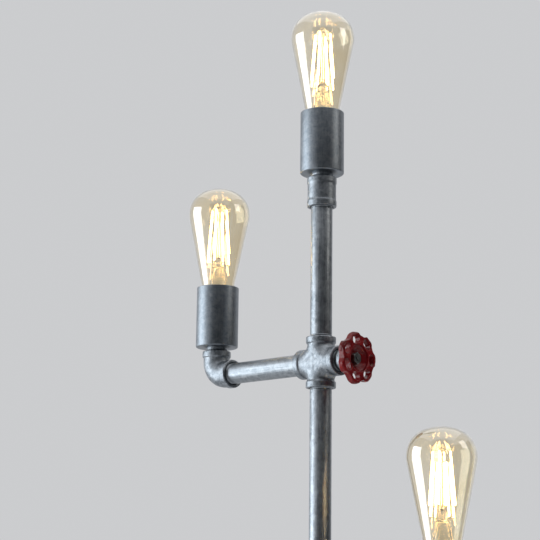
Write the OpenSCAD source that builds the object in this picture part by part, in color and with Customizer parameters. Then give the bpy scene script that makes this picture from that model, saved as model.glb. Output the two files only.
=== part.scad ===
// Floor lamp of half-inch pipe and banded fittings: three bare bulbs, a valve wheel as the switch.
// Millimetres, +Z up. The pole stands on the Z axis, the arms run along X, the floor is z = 0.

/* [Base] */
// Diameter of the round base plate
base_d = 280; // [250:5:340]
// Thickness of the base plate
base_t = 10; // [8:1:16]
// Rounding of the base plate's edges
base_edge = 2.5; // [1:0.5:3.5]
// Thickness of the pad glued under the plate
pad_t = 3; // [2:0.5:5]
// Margin between the pad and the plate's rim
pad_margin = 8; // [4:1:20]
// Diameter of the floor flange
flange_d = 78; // [72:1:90]
// Thickness of the flange disc
flange_t = 5; // [4:0.5:6]
// Height of the pipe's seat above the flange's foot
flange_seat = 8; // [7:0.5:10]
// Pitch circle of the flange screws
screw_circle = 56; // [52:1:58]
// Shank diameter of the flange screws
screw_d = 5; // [4:0.5:6]
// Height of the cord bush above the base plate
bush_rise = 60; // [40:5:90]
// Bore of the cord bush
bush_bore = 5.6; // [5:0.1:5.6]
// Diameter of the cord bush's shank
bush_d = 9; // [8.5:0.5:10]

/* [Pipe] */
// Outside diameter of the pipe
pipe_d = 21.3; // [21:0.1:21.6]
// Wall of the pipe
pipe_wall = 2.6; // [2.3:0.1:2.9]
// Length of pipe inside each fitting
engage = 12; // [11:0.5:13]
// Radial gap between a pipe and the fitting around it
thread_gap = 0.1; // [0.05:0.05:0.2]
// Length of the lower pole pipe
lower_len = 890; // [700:5:1000]
// Length of the middle pole pipe
middle_len = 243; // [220:1:300]
// Length of the upper pole pipe
upper_len = 154; // [120:1:200]
// Length of each arm pipe
arm_len = 118.5; // [100:0.5:135]

/* [Fittings] */
// Centre to end of the cross and the tee
cross_reach = 25; // [24.5:0.5:28]
// Centre to end of an elbow
elbow_reach = 25; // [24:0.5:28]
// Diameter of a fitting's body
body_d = 26.6; // [25.5:0.1:27]
// Diameter of the band around each mouth
band_d = 29.2; // [28.6:0.1:31]
// Width of a band
band_w = 6.5; // [5:0.5:7.5]
// Rounding of a band's edges
band_edge = 0.8; // [0.6:0.2:1.4]
// Bevel inside each mouth
mouth = 1; // [0.4:0.2:1.4]
// Radius in the crotches of the cross and the tee
crotch_r = 5; // [3:0.5:6]
// Sharpness kept inside an elbow's bend
elbow_crease = 1.2; // [0.8:0.2:2]
// Length of the coupling under the top lamp
coupling_len = 30; // [28:1:40]
// Diameter of the coupling between its bands
coupling_d = 28.2; // [26:0.2:28.4]

/* [Lamp head] */
// Bare nipple between a fitting and the socket cover
neck_gap = 4; // [3:0.5:9]
// Diameter of the socket cover
cover_d = 43.5; // [42.5:0.5:46]
// Height of the socket cover
cover_h = 63; // [60:1:65]
// Wall of the socket cover
cover_wall = 1.2; // [0.8:0.1:1.4]
// Thickness of the cover's floor
cover_floor = 2; // [1.5:0.5:2.5]
// Rounding round the cover's foot
cover_edge = 1.5; // [0.9:0.1:2]
// Width across the flats of the lock nut
nut_flats = 30; // [28:1:32]
// Thickness of the lock nut
nut_t = 6; // [5:0.5:7]
// Diameter of the ceramic lampholder
holder_d = 37; // [36:0.5:38]
// Height of the lampholder's floor
holder_floor = 13; // [12:0.5:14]
// Depth of the lampholder's spigot in the nipple
spigot_len = 5; // [3:0.5:5]
// Diameter of one lead
lead_d = 3.2; // [2.6:0.2:3.4]
// Distance of a lead from the pipe's axis
lead_off = 3; // [2.4:0.1:3.2]
// Bend radius of a lead
lead_bend = 8; // [7:0.5:9]

/* [Bulb] */
// Largest diameter of the glass
bulb_d = 64; // [60:1:66]
// Glass above the rim of the socket cover
bulb_show = 106; // [102:1:112]
// Height of the dome above the widest place
dome_h = 27.5; // [26:0.5:29]
// Half angle of the glass's taper
taper = 11.5; // [11:0.25:12]
// Thickness of the glass
glass_t = 0.8; // [0.6:0.1:1]
// Outside diameter of the screw cap
cap_d = 26.4; // [26:0.1:26.8]
// Length of the screw cap with its tip
cap_len = 27; // [26:0.5:28]
// Pitch of the screw cap
cap_pitch = 3.6; // [3.4:0.1:3.7]
// Gap between the bulb's cap and the lampholder
bulb_gap = 0.3; // [0.3:0.05:0.4]
// Number of filament strips
strips = 8; // [6:2:10]
// Length of a filament strip
strip_len = 48; // [44:1:50]
// Drop of every second strip below its neighbours
strip_step = 10; // [8:1:12]
// Diameter of a filament strip
strip_d = 1.8; // [1.4:0.1:2.2]
// Radius of the filament cage at the top
cage_top = 8; // [7:0.5:9]
// Radius of the filament cage at the foot
cage_foot = 12; // [11:0.5:13]
// Depth of the cage's top below the tip of the glass
cage_drop = 22; // [20:1:26]
// Thickness of the support wires
wire_d = 0.7; // [0.6:0.1:0.9]

/* [Valve wheel] */
// Distance of the wheel's rim from the pole's axis
wheel_out = 45.5; // [44.5:0.5:50]
// Diameter over the wheel's lobes
wheel_d = 51; // [50:1:54]
// Number of lobes round the wheel
lobes = 7; // [6:1:8]
// Angle of the first lobe round the spindle
lobe_turn = 90; // [0:5:180]
// Radius of one lobe
lobe_r = 7; // [6.75:0.25:7.5]
// Radius of the hollow between two lobes
hollow_r = 10; // [8:0.5:12]
// Thickness of the wheel's rim
rim_t = 7; // [6:0.5:7.5]
// Rounding of the rim
rim_round = 3; // [1.5:0.1:3]
// Thickness of the web between hub and rim
web_t = 3.6; // [3:0.2:4.4]
// Width of a window along the rim
window_len = 11; // [9:0.2:11]
// Width of a window across the rim
window_w = 6.8; // [6:0.2:7]
// Radius of the ring of windows
window_ring = 17.8; // [17.4:0.2:18.2]
// Diameter of the wheel's hub
hub_d = 15; // [14:0.5:16]
// Height of the wheel's hub
hub_h = 8.5; // [8:0.5:9.5]
// Diameter of the spindle
spindle_d = 6; // [5.6:0.2:6.4]
// Width of the spindle's square end
square_w = 4.6; // [4.2:0.1:4.7]
// Radial running gap round the spindle
spindle_gap = 0.06; // [0.04:0.01:0.1]
// Width across the flats of the wheel nut
wheel_nut_flats = 10; // [9:0.5:11]
// Thickness of the wheel nut
wheel_nut_t = 4; // [3:0.5:5]
// Diameter of the bonnet's collar
bonnet_d = 22; // [20:0.5:24]
// Width of the bonnet's collar
bonnet_w = 5.5; // [4.5:0.5:6.5]
// Width of the groove behind the bonnet's collar
groove_w = 3; // [2:0.5:4]
// Clear gap between the bonnet and the wheel
wheel_gap = 0.6; // [0.4:0.1:1]

/* [Hidden] */
$fn = 96;
over = 1;
seam = 0.02;
slack = 0.2;
touch = 0.05;
pipe_r = pipe_d / 2;
pipe_in = pipe_r - pipe_wall;
port_r = pipe_r + thread_gap;
pass_r = pipe_in + 2 * slack;
body_r = body_d / 2;
band_r = band_d / 2;
crotch_sink = 0.15;
inset = cross_reach - engage;
elbow_inset = elbow_reach - engage;

base_top = pad_t + base_t;
pole_foot = base_top + flange_seat;
tee_z = pole_foot + lower_len + inset;
cross_z = tee_z + middle_len + 2 * inset;
coupling_z = cross_z + inset + upper_len - engage;
span = inset + arm_len + elbow_inset;
bush_z = base_top + bush_rise;

flange_h = flange_seat + engage;
screw_head_t = 3;
screw_head_d = 9;
screw_edge = 0.6;
screw_bite = 7;
hex_depth = 1.5;
hex_r = screw_d / 3;
bush_lip = 1.5;
bush_collar = 3;
bush_edge = 1;
bush_flare = 5;
bush_collar_d = bush_d + bush_flare;

nut_proud = 1;
nipple_len = engage + neck_gap + cover_floor + nut_t - nut_proud;
holder_z = cover_floor + nut_t;
seat_z = holder_z + holder_floor;
contact_t = 1.7;
contact_r = 5;
tab_t = 0.8;
tab_w = 6;
tab_short = 2;
tip_z = seat_z + contact_t + bulb_gap;
cap_top = tip_z + cap_len;
cap_r = cap_d / 2;
button_t = 1.5;
insulator_t = 4;
cap_foot = tip_z + button_t + insulator_t;
cap_wall = 1.4;
cap_in = cap_r - cap_wall;
shell_in = cap_r + bulb_gap;
shell_t = 0.5;
shell_short = 4;
shell_h = cap_len - shell_short;
holder_lip = 1;
holder_edge = 0.8;
holder_h = holder_floor + shell_h + holder_lip;
hole_depth = 5;
lead_rest = 2;
lead_level = lead_d / 2 + lead_rest;

glass_top = cover_h + bulb_show;
wide_z = glass_top - dome_h;
dome_off = bulb_d / 2 - dome_h;
tangent_r = dome_off + dome_h * cos(taper);
tangent_z = wide_z - dome_h * sin(taper);
glass_sink = 4;
neck_z = cap_top + glass_sink;
neck_r = tangent_r - (tangent_z - neck_z) * tan(taper);
collar_r = cap_in - slack;
glass_foot = cap_top - glass_sink;
thread_sink = 0.7;
thread_r = 1;
thread_first = 2.2;
thread_margin = 5;
tip_r = 4.6;
tip_edge = 0.5;
insulator_r = 6;
plug_sink = 1;
plug_len = 3.5;

cage_top_z = glass_top - cage_drop;
cage_foot_z = cage_top_z - strip_len;
low_foot_z = cage_foot_z - strip_step;
strip_lean = atan((cage_foot - cage_top) / strip_len);
strip_run = strip_len / cos(strip_lean);
wire_r = wire_d / 2;
clip_r = 0.5;
wire_clear = strip_d / 2 * sin(strip_lean) + wire_r + 2 * touch;
stem_r = 9.2;
press_r = 5.5;
rod_r = 1.5;
button_r = 2.6;
flare_sink = 1;
flare_z = glass_foot + flare_sink;
flare_r = collar_r - glass_t - slack;
flare_edge = 1.4;
flare_h = 13;
stem_rise = 2;
stem_z = cover_h + stem_rise;
press_drop = 2.5;
press_z = low_foot_z - press_drop;
press_h = 5.5;
press_taper = 3.5;
rod_rise = 2;
rod_top = cage_top_z + rod_rise;

wheel_r = wheel_d / 2;
lobe_pitch = wheel_r - lobe_r;
half_step = 180 / lobes;
hollow_pitch = lobe_pitch * cos(half_step)
  + sqrt(pow(lobe_r + hollow_r, 2) - pow(lobe_pitch * sin(half_step), 2));
rim_lip = 1.5;
rim_in = window_ring - window_w / 2 - rim_lip;
rim_back = wheel_out - rim_t / 2;
spindle_r = spindle_d / 2;
groove_sink = 1.25;
groove_r = pipe_r - groove_sink;
collar_z = cross_reach + groove_w;
bonnet_face = collar_z + bonnet_w;
hub_back = bonnet_face + wheel_gap;
hub_edge = 1.2;
switch_r = pipe_in - thread_gap;
switch_proud = 0.5;
switch_back = inset - switch_proud;
switch_len = engage;
switch_bore = 5;
spindle_foot = switch_back + switch_len - switch_bore + 2 * slack;
hub_front = hub_back + hub_h;
web_sink = 0.5;
web_z = hub_front - web_sink - web_t;
stub_proud = 1.2;
spindle_end = hub_front + wheel_nut_t + stub_proud;
round_len = 2;
square_short = 0.5;
square_from = hub_back + round_len;
stub_r = square_w / 2 - thread_gap;

// Places of the three lamp heads, each at the foot of its socket cover
module at_top() {
  translate([0, 0, coupling_z + coupling_len + neck_gap]) children();
}

module at_left() {
  translate([-span, 0, cross_z + elbow_reach + neck_gap]) children();
}

module at_right() {
  translate([span, 0, tee_z + elbow_reach + neck_gap]) children();
}

// Lays a piece that is drawn along +Z along +X
module along_x() {
  rotate([0, 90, 0]) children();
}

// Half outline of a disc or ring with rounded outer edges
module edged_profile(r_in, r_out, h, e) {
  translate([r_in, 0]) square([r_out - e - r_in, h]);
  translate([r_in, e]) square([r_out - r_in, h - 2 * e]);
  translate([r_out - e, e]) circle(e);
  translate([r_out - e, h - e]) circle(e);
}

module pipe(len) {
  difference() {
    cylinder(h = len, r = pipe_r);
    translate([0, 0, -over]) cylinder(h = len + 2 * over, r = pipe_in);
  }
}

// Bevel at the mouth of a fitting, the mouth lying at z = 0
module mouth_bevel() {
  translate([0, 0, -mouth]) cylinder(h = mouth + over, r1 = port_r, r2 = port_r + mouth + over);
}

// One branch of a fitting, from its centre out to the banded mouth
module branch(reach) {
  cylinder(h = reach - seam, r = body_r);
  translate([0, 0, reach - band_w]) rotate_extrude() edged_profile(0, band_r, band_w, band_edge);
}

// Seat of a pipe, with the bevel at its mouth
module port(reach) {
  translate([0, 0, reach - engage]) cylinder(h = engage + over, r = port_r);
  translate([0, 0, reach]) mouth_bevel();
}

// The way through a branch: the seat of the pipe and the passage behind it
module branch_hole(reach) {
  port(reach);
  cylinder(h = reach, r = pass_r);
}

// Rounded fill between two branches at right angles, +X and +Z
module crotch() {
  fill = body_r + crotch_r;
  rotate([90, 0, 0])
    translate([fill, fill, 0])
      rotate([0, 0, 180])
        rotate_extrude(angle = 90) translate([fill, 0]) circle(body_r - crotch_sink);
}

module base_pad() {
  color([0.12, 0.12, 0.13])
    cylinder(h = pad_t, r = base_d / 2 - pad_margin);
}

module base_plate() {
  color([0.52, 0.54, 0.56])
    difference() {
      translate([0, 0, pad_t])
        rotate_extrude() edged_profile(0, base_d / 2, base_t, base_edge);
      for (a = [45 : 90 : 315])
        rotate([0, 0, a])
          translate([screw_circle / 2, 0, base_top - screw_bite])
            cylinder(h = screw_bite + over, r = screw_d / 2 + thread_gap);
    }
}

module floor_flange() {
  color([0.55, 0.57, 0.6])
    translate([0, 0, base_top])
      difference() {
        union() {
          rotate_extrude() edged_profile(0, flange_d / 2, flange_t, band_edge);
          cylinder(h = flange_h - seam, r = body_r);
          translate([0, 0, flange_h - band_w])
            rotate_extrude() edged_profile(0, band_r, band_w, band_edge);
        }
        translate([0, 0, flange_seat]) cylinder(h = engage + over, r = port_r);
        translate([0, 0, flange_h]) mouth_bevel();
        translate([0, 0, -over]) cylinder(h = flange_h, r = pass_r);
        for (a = [45 : 90 : 315])
          rotate([0, 0, a])
            translate([screw_circle / 2, 0, -over])
              cylinder(h = flange_t + 2 * over, r = screw_d / 2 + slack);
      }
}

module flange_screws() {
  color([0.62, 0.63, 0.64])
    for (a = [45 : 90 : 315])
      rotate([0, 0, a])
        translate([screw_circle / 2, 0, base_top + flange_t])
          union() {
            translate([0, 0, -flange_t - screw_bite]) cylinder(h = flange_t + screw_bite, r = screw_d / 2);
            difference() {
              rotate_extrude() edged_profile(0, screw_head_d / 2, screw_head_t, screw_edge);
              translate([0, 0, screw_head_t - hex_depth])
                cylinder(h = hex_depth + over, r = hex_r, $fn = 6);
            }
          }
}

module cord_bush() {
  color([0.1, 0.1, 0.11])
    translate([0, 0, bush_z])
      rotate([-90, 0, 0])
        difference() {
          union() {
            translate([0, 0, pipe_in - bush_lip])
              cylinder(h = pipe_wall + bush_lip + over, r = bush_d / 2);
            difference() {
              translate([0, 0, pipe_in])
                rotate_extrude() edged_profile(0, bush_collar_d / 2, pipe_wall + bush_collar, bush_edge);
              rotate([90, 0, 0])
                cylinder(h = bush_collar_d + 2 * over, r = pipe_r + touch, center = true);
            }
          }
          translate([0, 0, pipe_in - bush_lip - over])
            cylinder(h = pipe_wall + bush_collar + bush_lip + 2 * over, r = bush_bore / 2);
        }
}

module lower_pole() {
  color([0.6, 0.62, 0.65])
    difference() {
      translate([0, 0, pole_foot]) pipe(lower_len);
      translate([0, 0, bush_z])
        rotate([-90, 0, 0]) cylinder(h = pipe_d, r = bush_d / 2 + thread_gap);
    }
}

module tee() {
  color([0.55, 0.57, 0.6])
    translate([0, 0, tee_z])
      difference() {
        union() {
          branch(cross_reach);
          rotate([180, 0, 0]) branch(cross_reach);
          along_x() branch(cross_reach);
          crotch();
          mirror([0, 0, 1]) crotch();
        }
        branch_hole(cross_reach);
        rotate([180, 0, 0]) branch_hole(cross_reach);
        along_x() branch_hole(cross_reach);
      }
}

module middle_pole() {
  color([0.6, 0.62, 0.65])
    translate([0, 0, tee_z + inset]) pipe(middle_len);
}

module cross() {
  color([0.55, 0.57, 0.6])
    translate([0, 0, cross_z])
      difference() {
        union()
          for (a = [0 : 90 : 270])
            rotate([0, a, 0]) {
              branch(cross_reach);
              crotch();
            }
        for (a = [0 : 90 : 270])
          rotate([0, a, 0]) branch_hole(cross_reach);
      }
}

module upper_pole() {
  color([0.6, 0.62, 0.65])
    translate([0, 0, cross_z + inset]) pipe(upper_len);
}

module coupling() {
  color([0.55, 0.57, 0.6])
    translate([0, 0, coupling_z])
      difference() {
        union() {
          translate([0, 0, seam]) cylinder(h = coupling_len - 2 * seam, r = coupling_d / 2);
          rotate_extrude() edged_profile(0, band_r, band_w, band_edge);
          translate([0, 0, coupling_len - band_w])
            rotate_extrude() edged_profile(0, band_r, band_w, band_edge);
        }
        translate([0, 0, -over]) cylinder(h = engage + over, r = port_r);
        mirror([0, 0, 1]) mouth_bevel();
        translate([0, 0, coupling_len - engage]) cylinder(h = engage + over, r = port_r);
        translate([0, 0, coupling_len]) mouth_bevel();
        cylinder(h = coupling_len, r = pass_r);
      }
}

module arm_pipe() {
  color([0.6, 0.62, 0.65])
    translate([inset, 0, 0]) along_x() pipe(arm_len);
}

// Quarter bend of an elbow, between the ends of its two straight mouths
module elbow_bend(bend, r) {
  rotate([90, 0, 0])
    translate([-bend, bend, 0])
      rotate([0, 0, -90]) rotate_extrude(angle = 90) translate([bend, 0]) circle(r);
}

// Elbow with one mouth towards -X and one upwards, centred where the two axes meet
module elbow() {
  bend = body_r + elbow_crease;
  color([0.55, 0.57, 0.6])
    difference() {
      union() {
        translate([0, 0, bend]) cylinder(h = elbow_reach - bend - seam, r = body_r);
        translate([0, 0, elbow_reach - band_w])
          rotate_extrude() edged_profile(0, band_r, band_w, band_edge);
        rotate([0, -90, 0]) {
          translate([0, 0, bend]) cylinder(h = elbow_reach - bend - seam, r = body_r);
          translate([0, 0, elbow_reach - band_w])
            rotate_extrude() edged_profile(0, band_r, band_w, band_edge);
        }
        elbow_bend(bend, body_r);
      }
      port(elbow_reach);
      rotate([0, -90, 0]) port(elbow_reach);
      elbow_bend(bend, pass_r);
    }
}

module left_arm() {
  mirror([1, 0, 0]) translate([0, 0, cross_z]) arm_pipe();
}

module right_arm() {
  translate([0, 0, tee_z]) arm_pipe();
}

module left_elbow() {
  mirror([1, 0, 0]) translate([span, 0, cross_z]) elbow();
}

module right_elbow() {
  translate([span, 0, tee_z]) elbow();
}

module nipple() {
  color([0.6, 0.62, 0.65])
    translate([0, 0, -neck_gap - engage]) pipe(nipple_len);
}

module cover() {
  color([0.58, 0.6, 0.62])
    difference() {
      rotate_extrude() {
        translate([0, cover_edge]) square([cover_d / 2, cover_h - cover_edge]);
        square([cover_d / 2 - cover_edge, cover_h]);
        translate([cover_d / 2 - cover_edge, cover_edge]) circle(cover_edge);
      }
      translate([0, 0, cover_floor]) cylinder(h = cover_h, r = cover_d / 2 - cover_wall);
      translate([0, 0, -over]) cylinder(h = cover_h, r = port_r);
    }
}

module lock_nut() {
  difference() {
    translate([0, 0, cover_floor])
      cylinder(h = nut_t, r = nut_flats / sqrt(3), $fn = 6);
    cylinder(h = cover_h, r = port_r);
  }
}

module lock_nuts() {
  color([0.66, 0.62, 0.5]) {
    at_top() lock_nut();
    at_left() lock_nut();
    at_right() lock_nut();
  }
}

module holder() {
  well_r = shell_in + shell_t + slack;
  color([0.9, 0.89, 0.85])
    difference() {
      union() {
        translate([0, 0, holder_z])
          rotate_extrude() edged_profile(0, holder_d / 2, holder_h, holder_edge);
        translate([0, 0, holder_z - spigot_len])
          cylinder(h = spigot_len + over, r = pipe_in - thread_gap);
      }
      translate([0, 0, seat_z]) cylinder(h = holder_h, r = well_r);
      for (y = [-lead_off, lead_off])
        translate([0, y, holder_z - spigot_len - over])
          cylinder(h = spigot_len + hole_depth + over, r = lead_d / 2 + slack);
    }
}

module screw_shell() {
  color([0.78, 0.66, 0.38])
    translate([0, 0, seat_z])
      difference() {
        cylinder(h = shell_h, r = shell_in + shell_t);
        translate([0, 0, -over]) cylinder(h = shell_h + 2 * over, r = shell_in);
      }
}

module contact() {
  color([0.8, 0.68, 0.4])
    translate([0, 0, seat_z]) {
      cylinder(h = contact_t, r = contact_r);
      translate([-tab_w / 2, 0, 0]) cube([tab_w, shell_in - tab_short, tab_t]);
    }
}

// Quarter bend of a lead from +Z at the origin round to +X, in the XZ plane
module lead_elbow() {
  rotate([90, 0, 0])
    translate([lead_bend, 0, 0])
      rotate([0, 0, 90]) rotate_extrude(angle = 90) translate([lead_bend, 0]) circle(lead_d / 2);
}

module lead_run(len) {
  cylinder(h = len, r = lead_d / 2);
}

// Upright end of a lead, from the foot of its bend up into the lampholder
module lead_rise(foot) {
  lead_run(neck_gap + foot + holder_z + hole_depth);
}

module top_lead() {
  head_z = coupling_z + coupling_len - cross_z;
  color([0.85, 0.85, 0.82])
    translate([0, lead_off, cross_z + lead_level]) {
      translate([0, 0, lead_bend]) lead_rise(head_z - lead_bend - lead_level);
      mirror([0, 0, 1]) translate([0, 0, -lead_bend]) lead_elbow();
      translate([lead_bend, 0, 0]) along_x() lead_run(switch_back - lead_bend);
    }
}

module left_lead() {
  color([0.85, 0.85, 0.82])
    translate([-span, -lead_off, cross_z]) {
      translate([0, 0, lead_bend]) lead_rise(elbow_reach - lead_bend);
      mirror([0, 0, 1]) translate([0, 0, -lead_bend]) lead_elbow();
      translate([lead_bend, 0, 0]) along_x() lead_run(span + switch_back - lead_bend);
    }
}

module right_lead() {
  rise = cross_z - lead_level - tee_z;
  color([0.85, 0.85, 0.82])
    translate([0, lead_off, tee_z]) {
      translate([span, 0, lead_bend]) lead_rise(elbow_reach - lead_bend);
      translate([span, 0, lead_bend]) mirror([1, 0, 0]) mirror([0, 0, 1]) lead_elbow();
      translate([lead_bend, 0, 0]) along_x() lead_run(span - 2 * lead_bend);
      translate([0, 0, lead_bend]) mirror([0, 0, 1]) lead_elbow();
      translate([0, 0, lead_bend]) lead_run(rise - 2 * lead_bend);
      translate([0, 0, rise - lead_bend]) lead_elbow();
      translate([lead_bend, 0, rise]) along_x() lead_run(switch_back - lead_bend);
    }
}

// Half outline of the filled bulb, drawn in by t from the outside of the glass
module bulb_profile(t) {
  intersection() {
    translate([dome_off, wide_z]) circle(dome_h - t);
    translate([0, tangent_z]) square([bulb_d, bulb_d]);
  }
  translate([0, wide_z]) square([dome_off, dome_h - t]);
  polygon([
    [0, glass_foot],
    [collar_r - t, glass_foot],
    [collar_r - t, cap_top],
    [neck_r - t, neck_z],
    [tangent_r - t / cos(taper), tangent_z],
    [0, tangent_z]
  ]);
}

module glass() {
  color([0.85, 0.62, 0.3, 0.45])
    rotate_extrude()
      difference() {
        bulb_profile(0);
        bulb_profile(glass_t);
        translate([-over, glass_foot - over]) square([collar_r - glass_t + over, 3 * over]);
      }
}

module cap() {
  rings = floor((cap_top - cap_foot - thread_margin) / cap_pitch);
  color([0.74, 0.72, 0.66])
    difference() {
      union() {
        translate([0, 0, cap_foot + bulb_gap])
          cylinder(h = cap_top - cap_foot - bulb_gap, r = cap_r - thread_sink);
        for (i = [0 : rings - 1])
          translate([0, 0, cap_foot + thread_first + i * cap_pitch])
            rotate_extrude() translate([cap_r - thread_r, 0]) circle(thread_r);
      }
      translate([0, 0, cap_foot - over]) cylinder(h = cap_len, r = cap_in);
    }
}

module cap_tip() {
  plug_r = cap_in - spindle_gap;
  color([0.16, 0.16, 0.18])
    union() {
      translate([0, 0, tip_z]) rotate_extrude() edged_profile(0, tip_r, button_t, tip_edge);
      translate([0, 0, tip_z + button_t - seam])
        cylinder(h = insulator_t - plug_sink + seam, r1 = insulator_r, r2 = plug_r);
      translate([0, 0, cap_foot - plug_sink - seam]) cylinder(h = plug_len, r = plug_r);
    }
}

module stem() {
  color([0.8, 0.8, 0.78, 0.6])
    rotate_extrude()
      polygon([
        [0, flare_z + flare_edge],
        [flare_r, flare_z],
        [flare_r, flare_z + flare_edge],
        [stem_r, flare_z + flare_h],
        [stem_r, stem_z],
        [press_r, press_z],
        [press_r, press_z + press_h],
        [rod_r, press_z + press_h + press_taper],
        [rod_r, rod_top],
        [button_r, rod_top + rod_r],
        [button_r, rod_top + 2 * rod_r],
        [rod_r, rod_top + 3 * rod_r],
        [0, rod_top + 3 * rod_r]
      ]);
}

// The strips lean inwards to the top, every second one set lower
module filaments() {
  color([1, 0.8, 0.42])
    for (i = [0 : strips - 1])
      rotate([0, 0, (i + 0.5) * 360 / strips])
        translate([cage_foot, 0, i % 2 == 0 ? cage_foot_z : low_foot_z])
          rotate([0, -strip_lean, 0]) cylinder(h = strip_run, r = strip_d / 2);
}

// A clip round the stem with a wire out to the end of every second strip
module wire_star(grip, reach, first) {
  clip = grip + touch + clip_r;
  rotate_extrude() translate([clip, 0]) circle(clip_r);
  for (i = [first : 2 : strips - 1])
    rotate([0, 0, (i + 0.5) * 360 / strips])
      translate([clip, 0, 0]) along_x() cylinder(h = reach - clip, r = wire_r);
}

module support_wires() {
  color([0.7, 0.7, 0.7]) {
    translate([0, 0, cage_top_z + wire_clear]) wire_star(rod_r, cage_top, 0);
    translate([0, 0, cage_top_z - strip_step + wire_clear]) wire_star(rod_r, cage_top, 1);
    translate([0, 0, cage_foot_z - wire_clear]) wire_star(rod_r, cage_foot, 0);
    translate([0, 0, low_foot_z - wire_clear]) wire_star(press_r, cage_foot, 1);
  }
}

module rotary_switch() {
  color([0.15, 0.15, 0.16])
    translate([switch_back, 0, cross_z])
      along_x()
        difference() {
          cylinder(h = switch_len, r = switch_r);
          translate([0, 0, switch_len - switch_bore])
            cylinder(h = switch_bore + over, r = spindle_r + spindle_gap);
        }
}

module bonnet() {
  color([0.55, 0.57, 0.6])
    translate([0, 0, cross_z])
      along_x()
        difference() {
          union() {
            translate([0, 0, inset]) cylinder(h = engage - mouth, r = pipe_r);
            translate([0, 0, inset + over]) cylinder(h = collar_z - inset, r = groove_r);
            translate([0, 0, collar_z])
              rotate_extrude() edged_profile(0, bonnet_d / 2, bonnet_w, band_edge);
          }
          translate([0, 0, inset - over])
            cylinder(h = switch_back + switch_len - inset + over, r = pipe_in);
          translate([0, 0, inset]) cylinder(h = bonnet_face, r = spindle_r + spindle_gap);
        }
}

module spindle() {
  color([0.5, 0.5, 0.48])
    translate([0, 0, cross_z])
      along_x()
        union() {
          translate([0, 0, spindle_foot]) cylinder(h = square_from - spindle_foot, r = spindle_r);
          translate([-square_w / 2, -square_w / 2, square_from - seam])
            cube([square_w, square_w, hub_front - square_short - square_from + seam]);
          translate([0, 0, hub_front - over]) cylinder(h = spindle_end - hub_front + over, r = stub_r);
        }
}

// Outline of the wheel: lobes joined by hollows that run smoothly into them
module wheel_outline() {
  difference() {
    union() {
      polygon([
        for (i = [0 : 2 * lobes - 1])
          let (far = i % 2 == 0 ? lobe_pitch : hollow_pitch)
            [far * cos(i * half_step), far * sin(i * half_step)]
      ]);
      for (i = [0 : lobes - 1])
        rotate([0, 0, 2 * i * half_step]) translate([lobe_pitch, 0]) circle(lobe_r);
    }
    for (i = [0 : lobes - 1])
      rotate([0, 0, (2 * i + 1) * half_step]) translate([hollow_pitch, 0]) circle(hollow_r);
  }
}

module wheel_window() {
  half = (window_len - window_w) / 2;
  translate([window_ring, -half]) circle(window_w / 2);
  translate([window_ring, half]) circle(window_w / 2);
  translate([window_ring - window_w / 2, -half]) square([window_w, 2 * half]);
}

// Half outline of the rim and of the web that falls from it to the sunk hub
module wheel_profile() {
  translate([0, rim_back]) edged_profile(rim_in, wheel_r, rim_t, rim_round);
  polygon([
    [hub_d / 2 - hub_edge, web_z],
    [rim_in + over, wheel_out - web_t / 2],
    [rim_in + over, wheel_out + web_t / 2],
    [hub_d / 2 - hub_edge, web_z + web_t]
  ]);
}

module handwheel() {
  color([0.62, 0.06, 0.07])
    translate([0, 0, cross_z])
      along_x()
        difference() {
          union() {
            intersection() {
              translate([0, 0, hub_back])
                linear_extrude(wheel_out + rim_t - hub_back) rotate(lobe_turn) wheel_outline();
              rotate_extrude() wheel_profile();
            }
            translate([0, 0, hub_back]) rotate_extrude() edged_profile(0, hub_d / 2, hub_h, hub_edge);
          }
          for (i = [0 : lobes - 1])
            rotate([0, 0, lobe_turn + 2 * i * half_step])
              translate([0, 0, hub_back]) linear_extrude(wheel_out + rim_t - hub_back) wheel_window();
          translate([0, 0, hub_back - over]) cylinder(h = round_len + over, r = spindle_r + slack);
          translate([-square_w / 2 - thread_gap, -square_w / 2 - thread_gap, hub_back])
            cube([square_w + 2 * thread_gap, square_w + 2 * thread_gap, hub_h + over]);
        }
}

module wheel_nut() {
  color([0.42, 0.43, 0.42])
    translate([0, 0, cross_z])
      along_x()
        difference() {
          translate([0, 0, hub_front]) cylinder(h = wheel_nut_t, r = wheel_nut_flats / sqrt(3), $fn = 6);
          translate([0, 0, hub_front - over])
            cylinder(h = wheel_nut_t + 2 * over, r = stub_r + thread_gap);
        }
}

base_pad();
base_plate();
floor_flange();
flange_screws();
cord_bush();
lower_pole();
tee();
middle_pole();
cross();
upper_pole();
coupling();
left_arm();
left_elbow();
right_arm();
right_elbow();
at_top() nipple();  // top_nipple
at_left() nipple();  // left_nipple
at_right() nipple();  // right_nipple
at_top() cover();  // top_cover
at_left() cover();  // left_cover
at_right() cover();  // right_cover
lock_nuts();
at_top() holder();  // top_holder
at_left() holder();  // left_holder
at_right() holder();  // right_holder
at_top() screw_shell();  // top_screw_shell
at_left() screw_shell();  // left_screw_shell
at_right() screw_shell();  // right_screw_shell
at_top() contact();  // top_contact
at_left() contact();  // left_contact
at_right() contact();  // right_contact
top_lead();
left_lead();
right_lead();
at_top() glass();  // top_glass
at_left() glass();  // left_glass
at_right() glass();  // right_glass
at_top() cap();  // top_cap
at_left() cap();  // left_cap
at_right() cap();  // right_cap
at_top() cap_tip();  // top_cap_tip
at_left() cap_tip();  // left_cap_tip
at_right() cap_tip();  // right_cap_tip
at_top() stem();  // top_stem
at_left() stem();  // left_stem
at_right() stem();  // right_stem
at_top() filaments();  // top_filaments
at_left() filaments();  // left_filaments
at_right() filaments();  // right_filaments
at_top() support_wires();  // top_support_wires
at_left() support_wires();  // left_support_wires
at_right() support_wires();  // right_support_wires
rotary_switch();
bonnet();
spindle();
handwheel();
wheel_nut();
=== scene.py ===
import math

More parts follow.
